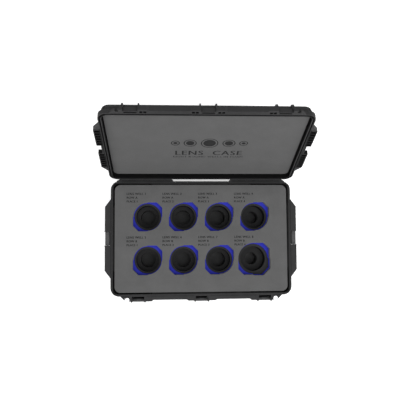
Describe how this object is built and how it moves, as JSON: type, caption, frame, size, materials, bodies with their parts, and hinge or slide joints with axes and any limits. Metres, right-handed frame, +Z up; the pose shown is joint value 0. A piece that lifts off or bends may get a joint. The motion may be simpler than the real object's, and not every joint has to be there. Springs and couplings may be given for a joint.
{
  "type": "lens transport case",
  "caption": "Hard transport case with open hinged lid, draw latches and a stepped foam insert with deep round wells for large lenses.",
  "frame": {"origin": "centre of the flat underside of the raised foot panel, under the middle of the base", "axes": "+X along the length, -Y the latch side, +Y the hinge side, +Z up, lid open at its stop"},
  "size_m": [0.815, 0.7304, 0.7333],
  "materials": {
    "shell": "fine moulded texture",
    "latch": "satin moulded plastic, a little lighter than the shell",
    "handle": "satin",
    "valve": "satin",
    "rubber": "soft matt",
    "foam_grey": "closed-cell foam, fine matt cell texture",
    "foam_blue": "closed-cell foam, matt",
    "foam_dark": "closed-cell foam, matt",
    "steel": "plain"
  },
  "bodies": {
    "base": {"base_shell": "shell", "foam_top_layer": "foam_grey", "foam_accent_layer": "foam_blue", "foam_core_upper": "foam_dark", "foam_core_lower": "foam_dark", "foam_floor_pad": "foam_dark", "hinge_pin_left": "steel", "hinge_pin_right": "steel", "front_latch_pin_left": "steel", "front_latch_pin_centre": "steel", "front_latch_pin_right": "steel", "end_latch_pin_left": "steel", "end_latch_pin_right": "steel", "end_handle_pin_left_front": "steel", "end_handle_pin_left_rear": "steel", "end_handle_pin_right_front": "steel", "end_handle_pin_right_rear": "steel", "base_eyelet_left": "steel", "base_eyelet_right": "steel", "pressure_valve": "valve"},
    "lid": {"lid_shell": "shell", "lid_seal": "rubber", "lid_foam_pad": "foam_grey"},
    "front_latch_left_lever": {"front_latch_left": "latch"},
    "front_latch_centre_lever": {"front_latch_centre": "latch"},
    "front_latch_right_lever": {"front_latch_right": "latch"},
    "end_latch_left_lever": {"end_latch_left": "latch"},
    "end_latch_right_lever": {"end_latch_right": "latch"},
    "end_handle_left_bail": {"end_handle_left": "handle", "end_handle_grip_left": "rubber"},
    "end_handle_right_bail": {"end_handle_right": "handle", "end_handle_grip_right": "rubber"}
  },
  "joints": [
    {"name": "lid_hinge", "type": "hinge", "parent": "base", "child": "lid", "pos_m": [0, 0.2535, 0.246], "axis": [1, 0, 0], "range_deg": [0, 110.7]},
    {"name": "front_latch_left_swing", "type": "hinge", "parent": "base", "child": "front_latch_left_lever", "pos_m": [-0.2675, -0.258, 0.2], "axis": [-1, 0, 0], "range_deg": [0, 180]},
    {"name": "front_latch_centre_swing", "type": "hinge", "parent": "base", "child": "front_latch_centre_lever", "pos_m": [0, -0.258, 0.2], "axis": [-1, 0, 0], "range_deg": [0, 180]},
    {"name": "front_latch_right_swing", "type": "hinge", "parent": "base", "child": "front_latch_right_lever", "pos_m": [0.2675, -0.258, 0.2], "axis": [-1, 0, 0], "range_deg": [0, 180]},
    {"name": "end_latch_left_swing", "type": "hinge", "parent": "base", "child": "end_latch_left_lever", "pos_m": [-0.395, 0, 0.219], "axis": [0, 1, 0], "range_deg": [0, 180]},
    {"name": "end_latch_right_swing", "type": "hinge", "parent": "base", "child": "end_latch_right_lever", "pos_m": [0.395, 0, 0.219], "axis": [0, -1, 0], "range_deg": [0, 180]},
    {"name": "end_handle_left_swing", "type": "hinge", "parent": "base", "child": "end_handle_left_bail", "pos_m": [-0.389, 0, 0.16], "axis": [0, 1, 0], "range_deg": [0, 95]},
    {"name": "end_handle_right_swing", "type": "hinge", "parent": "base", "child": "end_handle_right_bail", "pos_m": [0.389, 0, 0.16], "axis": [0, -1, 0], "range_deg": [0, 95]}
  ]
}
